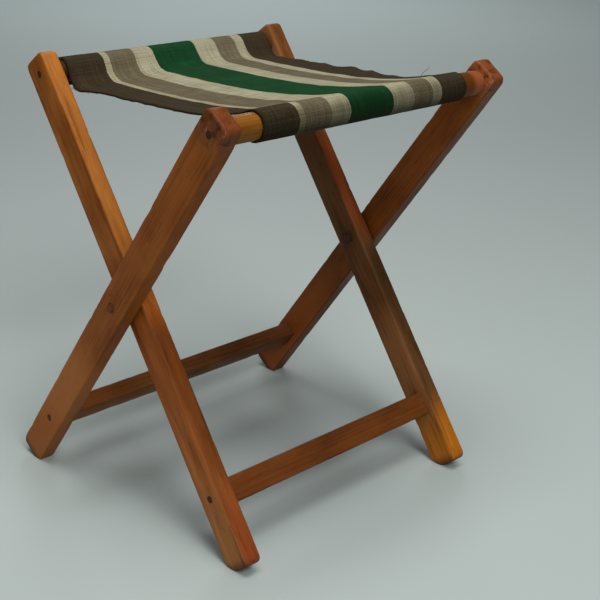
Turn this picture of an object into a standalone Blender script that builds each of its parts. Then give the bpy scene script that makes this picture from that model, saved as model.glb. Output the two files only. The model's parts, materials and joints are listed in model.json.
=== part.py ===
"""Wooden X-frame folding stool with a striped canvas seat, standing open.

Metres, +Z up. The origin is on the floor under the middle of the stool. +X runs along the seat rails from
the left legs to the right ones, and +Y points to the back. The pieces of each frame hang on an empty on the
pivot axis that leans with the legs, so inside a frame Z runs up along the legs and Y across their width.
"""

import math

import bmesh
import bpy
from mathutils import Matrix, Vector

# Clearance between pieces that touch
GAP = 0.0003

# Legs: four flat boards, two to a frame
FRAME_WIDTH = 0.360
LEG_WIDTH = 0.0335
LEG_THICKNESS = 0.0184
LEG_LEAN = math.radians(36.0)
PIVOT_HEIGHT = 0.2215
PIVOT_TO_TOP = 0.2575
LEG_END_RADIUS = 0.007
LEG_EDGE_RADIUS = 0.0018
FOOT_FLAT = 0.012
FOOT_EASE = 0.002

# Seat rails: dowels with round stub tenons
RAIL_DIAMETER = 0.024
RAIL_BELOW_TOP = 0.0178
RAIL_SHOULDER = 0.004

# Stretchers: flat bars with stub tenons
STRETCHER_HEIGHT = 0.0245
STRETCHER_THICKNESS = 0.0175
STRETCHER_EDGE_RADIUS = 0.002
STRETCHER_SHOULDER = 0.0035
STRETCHER_ABOVE_FOOT = 0.0625

# Wood left in a leg outside a rail's or stretcher's tenon
SOCKET_WALL = 0.008

# Nails through the legs into the rails and stretchers
NAIL_DIAMETER = 0.003
NAIL_LENGTH = 0.036
NAIL_HEAD_RIM = 0.0016
NAIL_HEAD_HEIGHT = 0.0012
NAIL_HEAD_EASE = 0.0006
NAIL_SINK = 0.0002
NAIL_POINT = 0.005

# Pivot rivets, with a spacer between the crossing legs and a burr under the peened end
RIVET_DIAMETER = 0.0055
RIVET_HEAD_RIM = 0.002
RIVET_HEAD_HEIGHT = 0.0014
SPACER_THICKNESS = 0.0034
SPACER_RIM = 0.0065
BURR_THICKNESS = 0.0012
BURR_RIM = 0.0035

# Canvas seat: one strip over both rails, tacked under them
CANVAS_THICKNESS = 0.0016
CANVAS_GAP_LEFT = 0.004
CANVAS_GAP_RIGHT = 0.0095
CANVAS_SKEW = 0.0024
CANVAS_WRAP = math.radians(212.0)
SEAT_SAG = 0.0213
SEAT_LOW_FROM_BACK = 0.036
SEAT_DROP_BACK = math.radians(58.0)
SEAT_RISE_FRONT = math.radians(17.0)

# How hard the seat's curve is pulled to the corner of its two tangents: by the back rail it is nearly a crease
BACK_PULL = 1.5
FRONT_PULL = 1.0

# Loose edges of the canvas, and its limp left corner by the back rail
EDGE_BAND = 0.036
EDGE_DROOP = 0.0012
CORNER_DROP = 0.0054
CORNER_FROM_BACK = 0.022
CORNER_RISE = 0.010
CORNER_LENGTH = 0.046

# Canvas tacks, which sit this far past the lowest line of a rail, where they don't show
TACK_TURN = math.radians(15.0)
TACK_COUNT = 5
TACK_INSET = 0.026
TACK_DIAMETER = 0.0018
TACK_LENGTH = 0.009
TACK_HEAD_RIM = 0.0028
TACK_HEAD_HEIGHT = 0.0014
TACK_POINT = 0.004

# Facets of curved faces
ROUND_SEGMENTS = 24
RAIL_SEGMENTS = 32
SMALL_SEGMENTS = 12
CORNER_STEPS = 5
EDGE_STEPS = 2
DOME_STEPS = 3
WRAP_STEPS = 20
SEAT_STEPS = 10
SMOOTH_ANGLE = math.radians(35.0)
BEVEL_ANGLE = math.radians(60.0)

# The most of a side that one rounded corner may take
CORNER_SHARE = 0.45

# Radius of a nail's or tack's point
POINT_RADIUS = 0.0003

# Cutters run this far past the faces that they open
CUT_PAST = 0.002

# Finishes: colour, roughness and metal share
PALE_LEG = ((0.30, 0.115, 0.036), 0.35, 0.0)
DARK_LEG = ((0.20, 0.066, 0.024), 0.35, 0.0)
BARE_RAIL = ((0.36, 0.125, 0.032), 0.38, 0.0)
STRETCHER_WOOD = ((0.17, 0.054, 0.021), 0.38, 0.0)
CANVAS_TAUPE = ((0.17, 0.14, 0.11), 0.95, 0.0)
DARK_IRON = ((0.045, 0.035, 0.030), 0.5, 0.8)
STEEL = ((0.42, 0.40, 0.37), 0.4, 1.0)

# Places that follow from the sizes above
BOARD_GAP = SPACER_THICKNESS + 2 * GAP
OUTER_SPAN = FRAME_WIDTH - 2 * LEG_THICKNESS
INNER_SPAN = OUTER_SPAN - 2 * (BOARD_GAP + LEG_THICKNESS)
TENON_DEPTH = LEG_THICKNESS - SOCKET_WALL - GAP
FOOT_EDGE_Z = -(PIVOT_HEIGHT - LEG_WIDTH / 2 * math.sin(LEG_LEAN)) / math.cos(LEG_LEAN)
FOOT_END_Z = FOOT_EDGE_Z - FOOT_FLAT * math.sin(LEG_LEAN)
RAIL_Z = PIVOT_TO_TOP - RAIL_BELOW_TOP
STRETCHER_Z = FOOT_EDGE_Z + STRETCHER_ABOVE_FOOT
RAIL_REACH = RAIL_Z * math.sin(LEG_LEAN)
RAIL_HEIGHT = PIVOT_HEIGHT + RAIL_Z * math.cos(LEG_LEAN)
RAIL_TENON_RADIUS = RAIL_DIAMETER / 2 - RAIL_SHOULDER
NAIL_HEAD_RADIUS = NAIL_DIAMETER / 2 + NAIL_HEAD_RIM
NAIL_SEAT = NAIL_SINK + NAIL_HEAD_HEIGHT
WRAP_RADIUS = RAIL_DIAMETER / 2 + GAP + CANVAS_THICKNESS / 2
CANVAS_LEFT = -INNER_SPAN / 2 + CANVAS_GAP_LEFT
CANVAS_RIGHT = INNER_SPAN / 2 - CANVAS_GAP_RIGHT
TACK_SEAT = WRAP_RADIUS + CANVAS_THICKNESS / 2 + GAP


# Shapes as lists of rings, each ring a loop of points

def lathe(profile, segments=ROUND_SEGMENTS):
    """Rings round the X axis, one for each (x, radius) of the profile."""
    angles = [2 * math.pi * k / segments for k in range(segments)]
    return [[Vector((x, r * math.cos(a), r * math.sin(a))) for a in angles] for x, r in profile]


def dome(start, end, radius):
    """Profile of a low dome from its full radius at start to a small flat at end."""
    turns = [math.pi / 2 * k / (DOME_STEPS + 1) for k in range(DOME_STEPS + 1)]
    return [(start + (end - start) * math.sin(a), radius * math.cos(a)) for a in turns]


def rounded(corners, radii, steps):
    """Outline of a polygon with each corner rounded to its radius, as far as its sides allow."""
    points = []
    for i, corner in enumerate(corners):
        before = corners[i - 1] - corner
        after = corners[(i + 1) % len(corners)] - corner
        half = before.angle(after) / 2
        room = CORNER_SHARE * min(before.length, after.length)
        reach = min(radii[i] / math.tan(half), room)
        middle = (before.normalized() + after.normalized()).normalized()
        centre = corner + middle * reach / math.cos(half)
        arm = corner + before.normalized() * reach - centre
        turn = math.copysign(math.pi - 2 * half, after.x * before.y - after.y * before.x)
        points += [centre + Matrix.Rotation(turn * k / steps, 2) @ arm for k in range(steps + 1)]
    return points


def bar_outline(height, thickness, radius):
    """Outline of a bar's section, with y across its thickness and z up its height."""
    y = thickness / 2
    z = height / 2
    corners = [Vector(c) for c in ((-y, -z), (y, -z), (y, z), (-y, z))]
    return rounded(corners, [radius] * 4, EDGE_STEPS)


def leg_outline(low_side):
    """Outline of a leg's wide face. low_side is the edge, +Y or -Y, that meets the floor."""
    half = LEG_WIDTH / 2
    toe = half - FOOT_FLAT * math.cos(LEG_LEAN)
    corners = (
        (-half, PIVOT_TO_TOP, LEG_END_RADIUS),
        (-half, FOOT_END_Z, LEG_END_RADIUS),
        (toe, FOOT_END_Z, FOOT_EASE),
        (half, FOOT_EDGE_Z, FOOT_EASE),
        (half, PIVOT_TO_TOP, LEG_END_RADIUS),
    )
    points = [Vector((low_side * y, z)) for y, z, radius in corners]
    return rounded(points, [radius for y, z, radius in corners], CORNER_STEPS)


def across(outline, stations):
    """Rings of one outline at several x."""
    return [[Vector((x, p.x, p.y)) for p in outline] for x in stations]


def moved(rings, place):
    """Rings carried by a matrix."""
    return [[place @ point for point in ring] for ring in rings]


def facing(rings, side):
    """Rings drawn for the right side, mirrored for the left one."""
    return moved(rings, Matrix.Scale(side, 4, Vector((1, 0, 0))))


# Objects

def skin(solids):
    """Mesh of closed solids, each a list of rings with a face at both ends."""
    shape = bmesh.new()
    for rings in solids:
        loops = [[shape.verts.new(point) for point in ring] for ring in rings]
        count = len(loops[0])
        for low, high in zip(loops, loops[1:]):
            for k in range(count):
                shape.faces.new((low[k], low[(k + 1) % count], high[(k + 1) % count], high[k]))
        shape.faces.new(loops[0])
        shape.faces.new(loops[-1])
    bmesh.ops.recalc_face_normals(shape, faces=shape.faces)
    return shape


def new_object(name, solids, parent, location):
    """Object made of ring solids, placed under its parent."""
    shape = skin(solids)
    mesh = bpy.data.meshes.new(name)
    shape.to_mesh(mesh)
    shape.free()
    piece = bpy.data.objects.new(name, mesh)
    bpy.context.scene.collection.objects.link(piece)
    piece.parent = parent
    piece.location = location
    return piece


def add_piece(name, rings, parent, location, finish):
    """One sub-part with its own material."""
    colour, roughness, metallic = finish
    piece = new_object(name, [rings], parent, location)
    piece.data.shade_smooth()
    piece.data.set_sharp_from_angle(angle=SMOOTH_ANGLE)
    material = bpy.data.materials.new(name)
    material.use_nodes = True
    shader = material.node_tree.nodes["Principled BSDF"]
    shader.inputs["Base Color"].default_value = (*colour, 1.0)
    shader.inputs["Roughness"].default_value = roughness
    shader.inputs["Metallic"].default_value = metallic
    piece.data.materials.append(material)
    return piece


def add_cutter(name, solids, parent, location):
    """Hidden shape that holes are cut with."""
    cutter = new_object(name, solids, parent, location)
    cutter.hide_render = True
    cutter.display_type = "WIRE"
    return cutter


def cut(piece, cutter):
    """Takes a cutter's shape out of a piece."""
    boolean = piece.modifiers.new(cutter.name, "BOOLEAN")
    boolean.operation = "DIFFERENCE"
    boolean.object = cutter


def add_frame(name, lean):
    """Empty on the pivot axis that leans with a frame's legs."""
    frame = bpy.data.objects.new(name, None)
    bpy.context.scene.collection.objects.link(frame)
    frame.location = (0, 0, PIVOT_HEIGHT)
    frame.rotation_euler = (lean, 0, 0)
    return frame


# Legs

def nail_hole(depth, span):
    """Rings of a nail's hole, which ends at depth, and of its head's recess."""
    outside = span / 2 + LEG_THICKNESS
    recess = outside - NAIL_SEAT - GAP
    shank = NAIL_DIAMETER / 2 + GAP
    head = NAIL_HEAD_RADIUS + GAP
    profile = [(depth, shank), (recess, shank), (recess, head), (outside + CUT_PAST, head)]
    return lathe(profile, SMALL_SEGMENTS)


def rail_socket(span):
    """Rings of the round socket for a rail's tenon."""
    radius = RAIL_TENON_RADIUS + GAP
    inside = span / 2
    return lathe([(inside - CUT_PAST, radius), (inside + TENON_DEPTH + GAP, radius)])


def stretcher_mortise(span):
    """Rings of the mortise for a stretcher's tenon."""
    height = STRETCHER_HEIGHT - 2 * STRETCHER_SHOULDER + 2 * GAP
    thickness = STRETCHER_THICKNESS - 2 * STRETCHER_SHOULDER + 2 * GAP
    inside = span / 2
    outline = bar_outline(height, thickness, STRETCHER_EDGE_RADIUS)
    return across(outline, (inside - CUT_PAST, inside + TENON_DEPTH + GAP))


def pivot_hole(span):
    """Rings of the hole for a pivot rivet."""
    radius = RIVET_DIAMETER / 2 + GAP
    inside = span / 2
    return lathe([(inside - CUT_PAST, radius), (inside + LEG_THICKNESS + CUT_PAST, radius)])


def add_leg(name, frame, span, side, low_side, finish):
    """One leg, rounded along its edges, with its pivot hole, socket, mortise and nail holes."""
    middle = side * (span + LEG_THICKNESS) / 2
    half = LEG_THICKNESS / 2
    leg = add_piece(name, across(leg_outline(low_side), (-half, half)), frame, (middle, 0, 0), finish)
    bevel = leg.modifiers.new("rounded_edges", "BEVEL")
    bevel.width = LEG_EDGE_RADIUS
    bevel.segments = EDGE_STEPS
    bevel.limit_method = "ANGLE"
    bevel.angle_limit = BEVEL_ANGLE
    up_to_rail = Matrix.Translation((0, 0, RAIL_Z))
    down_to_stretcher = Matrix.Translation((0, 0, STRETCHER_Z))
    nail_from = span / 2 + TENON_DEPTH / 2
    sockets = [
        pivot_hole(span),
        moved(rail_socket(span), up_to_rail),
        moved(stretcher_mortise(span), down_to_stretcher),
    ]
    nails = [moved(nail_hole(nail_from, span), place) for place in (up_to_rail, down_to_stretcher)]
    for label, shapes in (("sockets", sockets), ("nail_holes", nails)):
        cut(leg, add_cutter(f"{name}_{label}", [facing(rings, side) for rings in shapes], frame, (0, 0, 0)))


# Rails, stretchers and their nails

def nail_tip(span):
    """Where the points of a frame's nails end, measured from the middle of the stool."""
    return span / 2 + LEG_THICKNESS - NAIL_SEAT - NAIL_LENGTH


def add_cross_piece(name, rings, frame, span, z, finish):
    """A rail or stretcher between two legs, drilled for its nails."""
    piece = add_piece(name, rings, frame, (0, 0, z), finish)
    radius = NAIL_DIAMETER / 2 + GAP
    past_tenon = span / 2 + TENON_DEPTH + CUT_PAST
    hole = lathe([(nail_tip(span) - GAP, radius), (past_tenon, radius)], SMALL_SEGMENTS)
    cut(piece, add_cutter(f"{name}_nail_holes", [facing(hole, side) for side in (-1, 1)], frame, (0, 0, z)))
    return piece


def rail_rings(span):
    """A dowel with a round stub tenon at each end."""
    shoulder = span / 2 - GAP
    end = span / 2 + TENON_DEPTH
    radius = RAIL_DIAMETER / 2
    tenon = RAIL_TENON_RADIUS
    left = [(-end, tenon), (-shoulder, tenon), (-shoulder, radius)]
    right = [(shoulder, radius), (shoulder, tenon), (end, tenon)]
    return lathe(left + right, RAIL_SEGMENTS)


def stretcher_rings(span):
    """A bar with eased edges and a stub tenon at each end."""
    shoulder = span / 2 - GAP
    end = span / 2 + TENON_DEPTH
    body = bar_outline(STRETCHER_HEIGHT, STRETCHER_THICKNESS, STRETCHER_EDGE_RADIUS)
    tenon_height = STRETCHER_HEIGHT - 2 * STRETCHER_SHOULDER
    tenon_thickness = STRETCHER_THICKNESS - 2 * STRETCHER_SHOULDER
    tenon = bar_outline(tenon_height, tenon_thickness, STRETCHER_EDGE_RADIUS)
    left = across(tenon, (-end, -shoulder))
    right = across(tenon, (shoulder, end))
    return left + across(body, (-shoulder, shoulder)) + right


def add_nails(name, frame, span, z):
    """The pair of nails that holds one rail or stretcher."""
    shank = NAIL_DIAMETER / 2
    top = span / 2 + LEG_THICKNESS - NAIL_SINK
    seat = top - NAIL_HEAD_HEIGHT
    tip = nail_tip(span)
    profile = [(tip, POINT_RADIUS), (tip + NAIL_POINT, shank), (seat, shank), (seat, NAIL_HEAD_RADIUS)]
    profile += [(top - NAIL_HEAD_EASE, NAIL_HEAD_RADIUS), (top, NAIL_HEAD_RADIUS - NAIL_HEAD_EASE)]
    for label, side in (("left", -1), ("right", 1)):
        rings = facing(lathe(profile, SMALL_SEGMENTS), side)
        add_piece(f"{name}_nail_{label}", rings, frame, (0, 0, z), DARK_IRON)


# Pivots

def add_pivot(label, frame, side):
    """A rivet through both legs of one side, with its spacer and burr."""
    shank = RIVET_DIAMETER / 2
    bore = shank + GAP
    head = shank + RIVET_HEAD_RIM
    outside = FRAME_WIDTH / 2 + GAP
    inside = INNER_SPAN / 2 - BURR_THICKNESS - 2 * GAP
    rivet = dome(inside, inside - RIVET_HEAD_HEIGHT, head)[::-1] + [(inside, shank), (outside, shank)]
    rivet += dome(outside, outside + RIVET_HEAD_HEIGHT, head)
    add_piece(f"pivot_rivet_{label}", facing(lathe(rivet), side), frame, (0, 0, 0), DARK_IRON)
    washers = (
        ("spacer", OUTER_SPAN / 2 - GAP - SPACER_THICKNESS, SPACER_THICKNESS, bore + SPACER_RIM),
        ("burr", INNER_SPAN / 2 - GAP - BURR_THICKNESS, BURR_THICKNESS, bore + BURR_RIM),
    )
    for kind, start, thickness, radius in washers:
        disc = lathe([(start, radius), (start + thickness, radius)])
        washer = add_piece(f"pivot_{kind}_{label}", facing(disc, side), frame, (0, 0, 0), STEEL)
        hole = lathe([(start - CUT_PAST, bore), (start + thickness + CUT_PAST, bore)])
        cut(washer, add_cutter(f"pivot_{kind}_hole_{label}", [facing(hole, side)], frame, (0, 0, 0)))


# Canvas seat

def wrap_points(side, leave):
    """Canvas round one rail, from where it leaves for the seat to its end. side is +1 at the back rail."""
    turns = [-leave + (CANVAS_WRAP + leave) * k / WRAP_STEPS for k in range(WRAP_STEPS + 1)]
    centre = Vector((side * RAIL_REACH, RAIL_HEIGHT))
    return [centre + WRAP_RADIUS * Vector((side * math.sin(a), math.cos(a))) for a in turns]


def sag_points(start, slope, low, pull):
    """Canvas from a rail down to its lowest point: a curve between the two tangents."""
    run = (start.y - low.y) / math.tan(slope)
    bend = Vector((start.x + math.copysign(run, low.x - start.x), low.y))
    points = []
    for k in range(1, SEAT_STEPS):
        t = k / SEAT_STEPS
        shares = ((1 - t) ** 2, 2 * pull * t * (1 - t), t * t)
        points.append((shares[0] * start + shares[1] * bend + shares[2] * low) / sum(shares))
    return points


def canvas_line():
    """The canvas's middle from its end under the back rail to its end under the front rail.

    Each entry is a (y, z) point and how slack the cloth's edges are there: 0 on the rails, 1 in mid seat.
    """
    back = wrap_points(1, SEAT_DROP_BACK)
    front = wrap_points(-1, SEAT_RISE_FRONT)
    low = Vector((RAIL_REACH - SEAT_LOW_FROM_BACK, RAIL_HEIGHT + WRAP_RADIUS - SEAT_SAG))
    falling = sag_points(back[0], SEAT_DROP_BACK, low, BACK_PULL)
    rising = sag_points(front[0], SEAT_RISE_FRONT, low, FRONT_PULL)[::-1]
    seat = falling + [low] + rising
    slack = [math.sin(math.pi * (k + 1) / (len(seat) + 1)) for k in range(len(seat))]
    return [(p, 0.0) for p in back[::-1]] + list(zip(seat, slack)) + [(p, 0.0) for p in front]


def canvas_shift(y):
    """How far to the right the strip lies at y, because it is tacked on slightly askew."""
    return CANVAS_SKEW * (y + RAIL_REACH) / (2 * RAIL_REACH)


def corner_drop(y):
    """How far the left edge hangs by the back rail: most just in front of it, then less to the front."""
    ahead = RAIL_REACH - CORNER_FROM_BACK - y
    share = 1 - ahead / CORNER_LENGTH if ahead > 0 else 1 + ahead / CORNER_RISE
    return CORNER_DROP * max(0.0, share)


def canvas_rings():
    """A strip of the canvas's thickness along its line, with its two edges hanging lower than the rest."""
    line = canvas_line()
    rings = []
    for i, (point, slack) in enumerate(line):
        along = line[min(i + 1, len(line) - 1)][0] - line[max(i - 1, 0)][0]
        out = Vector((along.y, -along.x)).normalized() * CANVAS_THICKNESS / 2
        edge = EDGE_DROOP * slack
        across_seat = (
            (CANVAS_LEFT, edge + corner_drop(point.x) if slack else 0.0),
            (CANVAS_LEFT + EDGE_BAND, 0.0),
            (CANVAS_RIGHT - EDGE_BAND, 0.0),
            (CANVAS_RIGHT, edge),
        )
        shift = canvas_shift(point.x)
        top = [Vector((x + shift, point.x + out.x, point.y + out.y - drop)) for x, drop in across_seat]
        under = [Vector((x + shift, point.x - out.x, point.y - out.y - drop)) for x, drop in across_seat]
        rings.append(top + under[::-1])
    return rings


def tack_places(side):
    """Seats of the tacks under one rail."""
    y = side * (RAIL_REACH - TACK_SEAT * math.sin(TACK_TURN))
    z = RAIL_HEIGHT - TACK_SEAT * math.cos(TACK_TURN)
    start = CANVAS_LEFT + TACK_INSET
    step = (CANVAS_RIGHT - TACK_INSET - start) / (TACK_COUNT - 1)
    return [Vector((start + k * step + canvas_shift(y), y, z)) for k in range(TACK_COUNT)]


def add_tacks(name, frame, side):
    """A row of tacks, and the cutter for their holes in the canvas and the rail."""
    shank = TACK_DIAMETER / 2
    upright = Matrix.Rotation(-side * TACK_TURN, 4, "X") @ Matrix.Rotation(-math.pi / 2, 4, "Y")
    profile = dome(0, -TACK_HEAD_HEIGHT, shank + TACK_HEAD_RIM)[::-1]
    profile += [(0, shank), (TACK_LENGTH - TACK_POINT, shank), (TACK_LENGTH, POINT_RADIUS)]
    rings = moved(lathe(profile, SMALL_SEGMENTS), upright)
    hole = lathe([(-CUT_PAST, shank + GAP), (TACK_LENGTH + GAP, shank + GAP)], SMALL_SEGMENTS)
    places = tack_places(side)
    for number, place in enumerate(places, 1):
        tack = add_piece(f"{name}_tack_{number}", rings, frame, place, DARK_IRON)
        tack.matrix_parent_inverse = frame.matrix_world.inverted()
    holes = [moved(hole, Matrix.Translation(place) @ upright) for place in places]
    return add_cutter(f"{name}_tack_holes", holes, None, (0, 0, 0))


def main():
    for old in list(bpy.data.objects):
        bpy.data.objects.remove(old, do_unlink=True)

    outer = add_frame("outer_frame", LEG_LEAN)
    inner = add_frame("inner_frame", -LEG_LEAN)
    bpy.context.view_layer.update()

    for label, side, finish in (("left", -1, PALE_LEG), ("right", 1, DARK_LEG)):
        add_leg(f"outer_leg_{label}", outer, OUTER_SPAN, side, -1, finish)
        add_leg(f"inner_leg_{label}", inner, INNER_SPAN, side, 1, finish)
        add_pivot(label, outer, side)

    front_rail = add_cross_piece("front_rail", rail_rings(OUTER_SPAN), outer, OUTER_SPAN, RAIL_Z, BARE_RAIL)
    back_rail = add_cross_piece("back_rail", rail_rings(INNER_SPAN), inner, INNER_SPAN, RAIL_Z, BARE_RAIL)
    add_nails("front_rail", outer, OUTER_SPAN, RAIL_Z)
    add_nails("back_rail", inner, INNER_SPAN, RAIL_Z)
    stretchers = (("rear_stretcher", outer, OUTER_SPAN), ("front_stretcher", inner, INNER_SPAN))
    for name, frame, span in stretchers:
        add_cross_piece(name, stretcher_rings(span), frame, span, STRETCHER_Z, STRETCHER_WOOD)
        add_nails(name, frame, span, STRETCHER_Z)

    canvas = add_piece("seat_canvas", canvas_rings(), None, (0, 0, 0), CANVAS_TAUPE)
    for rail, name, frame, side in ((front_rail, "front", outer, -1), (back_rail, "back", inner, 1)):
        holes = add_tacks(name, frame, side)
        cut(rail, holes)
        cut(canvas, holes)


main()
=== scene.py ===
"""Looks of the folding stool: worn varnished boards, iron fixings and a striped canvas seat.

Metres, in the part's frame: +X along the seat rails to the right, +Y to the back, +Z up, origin on the floor.
In a board's own frame x runs through its thickness, y across its width and z along its grain.
"""

import json
import math
import random

from collections import namedtuple

import bmesh
import bpy
from mathutils import Matrix, Vector, noise

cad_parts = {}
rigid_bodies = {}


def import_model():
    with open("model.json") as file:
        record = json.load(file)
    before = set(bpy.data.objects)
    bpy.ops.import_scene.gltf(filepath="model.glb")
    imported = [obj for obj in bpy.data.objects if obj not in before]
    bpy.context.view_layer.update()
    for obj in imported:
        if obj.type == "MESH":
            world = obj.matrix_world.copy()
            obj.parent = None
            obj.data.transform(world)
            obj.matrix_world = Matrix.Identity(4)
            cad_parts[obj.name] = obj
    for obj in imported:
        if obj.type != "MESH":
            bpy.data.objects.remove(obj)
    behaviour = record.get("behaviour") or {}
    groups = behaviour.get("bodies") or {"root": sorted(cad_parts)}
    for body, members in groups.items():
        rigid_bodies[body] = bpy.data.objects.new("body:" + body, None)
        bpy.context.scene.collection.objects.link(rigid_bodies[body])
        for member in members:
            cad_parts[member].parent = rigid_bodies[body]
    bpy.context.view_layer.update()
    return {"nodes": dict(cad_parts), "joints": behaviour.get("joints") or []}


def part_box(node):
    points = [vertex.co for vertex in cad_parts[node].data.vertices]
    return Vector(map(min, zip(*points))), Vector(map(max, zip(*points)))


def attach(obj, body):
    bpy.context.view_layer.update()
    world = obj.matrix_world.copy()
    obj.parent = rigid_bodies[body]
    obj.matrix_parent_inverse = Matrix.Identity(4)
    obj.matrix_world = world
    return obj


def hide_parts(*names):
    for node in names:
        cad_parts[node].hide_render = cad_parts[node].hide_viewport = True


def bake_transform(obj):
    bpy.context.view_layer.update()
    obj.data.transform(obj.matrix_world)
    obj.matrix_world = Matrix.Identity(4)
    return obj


# Legs
LEG_LEAN = math.radians(36.0)
LEG_WIDTH = 0.0335
LEG_THICKNESS = 0.0184
PIVOT_TO_TOP = 0.2575
FOOT_FLAT = 0.012
END_RADIUS = 0.007
EDGE_RADIUS = 0.0024
PIVOT_HOLE = 0.00305
NAIL_HOLE = 0.0034
NAIL_HOLE_DEPTH = 0.0017
DRILL_SIDES = 24

# Rails and stretchers
RAIL_DIAMETER = 0.024
RAIL_BELOW_TOP = 0.0178
STRETCHER_HEIGHT = 0.0245
STRETCHER_THICKNESS = 0.0175
STRETCHER_ABOVE_FOOT = 0.0625
STRETCHER_EDGE = 0.002
SEAT_GAP = 0.0003
DOWEL_SIDES = 64
DOWEL_EASE = 0.0004

# Sections of the boards: points on each side and corner, and how far apart the sections are
SIDE_POINTS = 5
CORNER_POINTS = 4
STATION_STEP = 0.004
END_STEPS = (0.0, 0.0002, 0.0006, 0.0012, 0.0019, 0.0026, 0.0036, 0.0048, 0.006, 0.0072)
TIP_RADIUS = 0.0012
SHARP_ANGLE = math.radians(48)

# Wear of the boards' shapes: slight waves, chips along the edges, and lumps at the top ends
WEAR_SHIFT = (3.1, 7.7, 1.3)
WAVE_DEPTH = 0.00012
WAVE_SCALE = 38.0
CHIP_SCALE = 55.0
FINE_CHIP_SCALE = 170.0
FINE_CHIP_SHARE = 0.4
CHIP_START = 0.30
CHIP_RANGE = 0.6
LEG_CHIPS = 0.0009
BAR_CHIPS = 0.0006
LUMP_SCALE = 160.0
LUMPY_LENGTH = 0.035
OUTER_LUMPS = 0.0011
INNER_LUMPS = 0.0003

# Canvas
CANVAS_THICKNESS = 0.0016
CANVAS_GAP_LEFT = 0.004
CANVAS_GAP_RIGHT = 0.0095
CANVAS_SKEW = 0.0024
CANVAS_WRAP = math.radians(212.0)
SEAT_SAG = 0.0213
SEAT_LOW_FROM_BACK = 0.036
SEAT_DROP_BACK = math.radians(58.0)
SEAT_RISE_FRONT = math.radians(17.0)
BACK_PULL = 1.5
FRONT_PULL = 1.0
CANVAS_COLUMNS = 106
WRAP_ROWS = 26
SEAT_ROWS = 66

# Loose selvedges: how far the left and right ones hang near the front, and at their corners by the back rail
EDGE_BAND = 0.036
FRONT_DROOP = (0.0020, 0.0034)
FRONT_DROOP_PLACE = -0.066
FRONT_DROOP_LENGTH = 0.036
CORNER_DROP = (0.0056, 0.0030)
CORNER_FROM_BACK = 0.022
CORNER_RISE = 0.010
CORNER_LENGTH = 0.046
SCALLOP = 0.0008
SCALLOP_PITCH = 0.011
LEFT_TUCK = 0.0030
LEFT_HOLLOW = 0.0038
LEFT_HOLLOW_INSIDE = 0.045
MIDDLE_LIFT = 0.0014
MIDDLE_LIFT_SPREAD = 0.05
CREASE = 0.0006
PUFF = 0.0004
SELVEDGE_WAVER = 0.0006

# Curls of the right selvedge: place along y, height and length
RIGHT_CURLS = (
    (0.036, 0.0012, 0.008),
    (-0.004, 0.0026, 0.010),
    (-0.033, 0.0024, 0.010),
    (-0.062, 0.0014, 0.010),
)

# Loose fibres along both selvedges, and the points of one long thread at the right front
FRAY_SEED = 11
FRAY_COUNT = 70
FRAY_RADIUS = 0.00016
FRAY_SIDES = 5
FRAY_REACH = (0.0012, 0.0042)
FRAY_CURL = 0.4
FRAY_STEPS = (-0.25, 0.15, 0.5, 0.8, 1.0)
LOOSE_THREAD_INSIDE = 0.018
LOOSE_THREAD_ROW = -WRAP_ROWS - 8
LOOSE_THREAD_RADIUS = FRAY_RADIUS * 1.4
LOOSE_THREAD = (
    (0, 0, 0),
    (0.002, 0.001, 0.0020),
    (0.0045, 0, 0.0044),
    (0.007, -0.002, 0.0066),
    (0.0095, -0.002, 0.0092),
)

# Stripes from the left selvedge to the right one: width and yarn
STRIPES = (
    (0.0425, "charcoal"),
    (0.0078, "oat"),
    (0.0311, "taupe"),
    (0.0238, "cream"),
    (0.0552, "green"),
    (0.0288, "cream"),
    (0.0266, "taupe"),
    (0.0128, "cream"),
    (0.0363, "charcoal"),
)
YARNS = {
    "charcoal": (0.048, 0.036, 0.0195),
    "oat": (0.42, 0.39, 0.265),
    "cream": (0.445, 0.43, 0.30),
    "taupe": (0.170, 0.144, 0.091),
    "green": (0.003, 0.062, 0.020),
}

# Share of light specks in each yarn, and of the painted shade and soil on the front wrap
SPECKLE = {"charcoal": 0.35, "oat": 0.3, "cream": 0.3, "taupe": 0.7, "green": 0.04}
FRONT_SHADE_AND_SOIL = {"charcoal": 0.55, "oat": 1.0, "cream": 0.9, "taupe": 0.62, "green": 0.8}

# Weave, soil and painted shade
WEFT = (0.22, 0.20, 0.14)
YARN_PITCH = 0.00125
LIGHT_SPECK = (0.50, 0.47, 0.37)
SOIL = (0.72, 0.68, 0.60)
# Colour of the painted shade and soil on the front wrap
SHADE_AND_SOIL = (0.37, 0.36, 0.31)
SPECK_SHARE = (0.64, 0.71, 0.0, 0.8)
SOIL_SHARE = (0.36, 0.70, 0.45, 0.0)
GAP_SHADE = (0.0, 0.5, 0.42, 0.0)
SELVEDGE_SHADE = (0.0, 0.006, 0.6, 0.0)
FRAY_TONES = ((0.35, (0.035, 0.026, 0.021)), (0.65, (0.11, 0.085, 0.066)))

# Wood tones: dark grain, ground and light grain
PALE = ((0.150, 0.038, 0.005), (0.300, 0.086, 0.010), (0.420, 0.145, 0.022))
BROWN = ((0.150, 0.037, 0.006), (0.290, 0.083, 0.012), (0.365, 0.116, 0.019))
RED = ((0.085, 0.021, 0.004), (0.195, 0.053, 0.008), (0.275, 0.082, 0.014))
DARK = ((0.058, 0.019, 0.005), (0.148, 0.053, 0.014), (0.250, 0.098, 0.024))
# Darker tone of the front stretcher, painted shade from the seat above it
SHADED_BAR = ((0.062, 0.017, 0.0045), (0.142, 0.041, 0.0085), (0.205, 0.063, 0.014))
BARE = ((0.105, 0.033, 0.004), (0.195, 0.073, 0.008), (0.280, 0.118, 0.018))
GRAIN_STOPS = (0.30, 0.50, 0.72)

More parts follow.
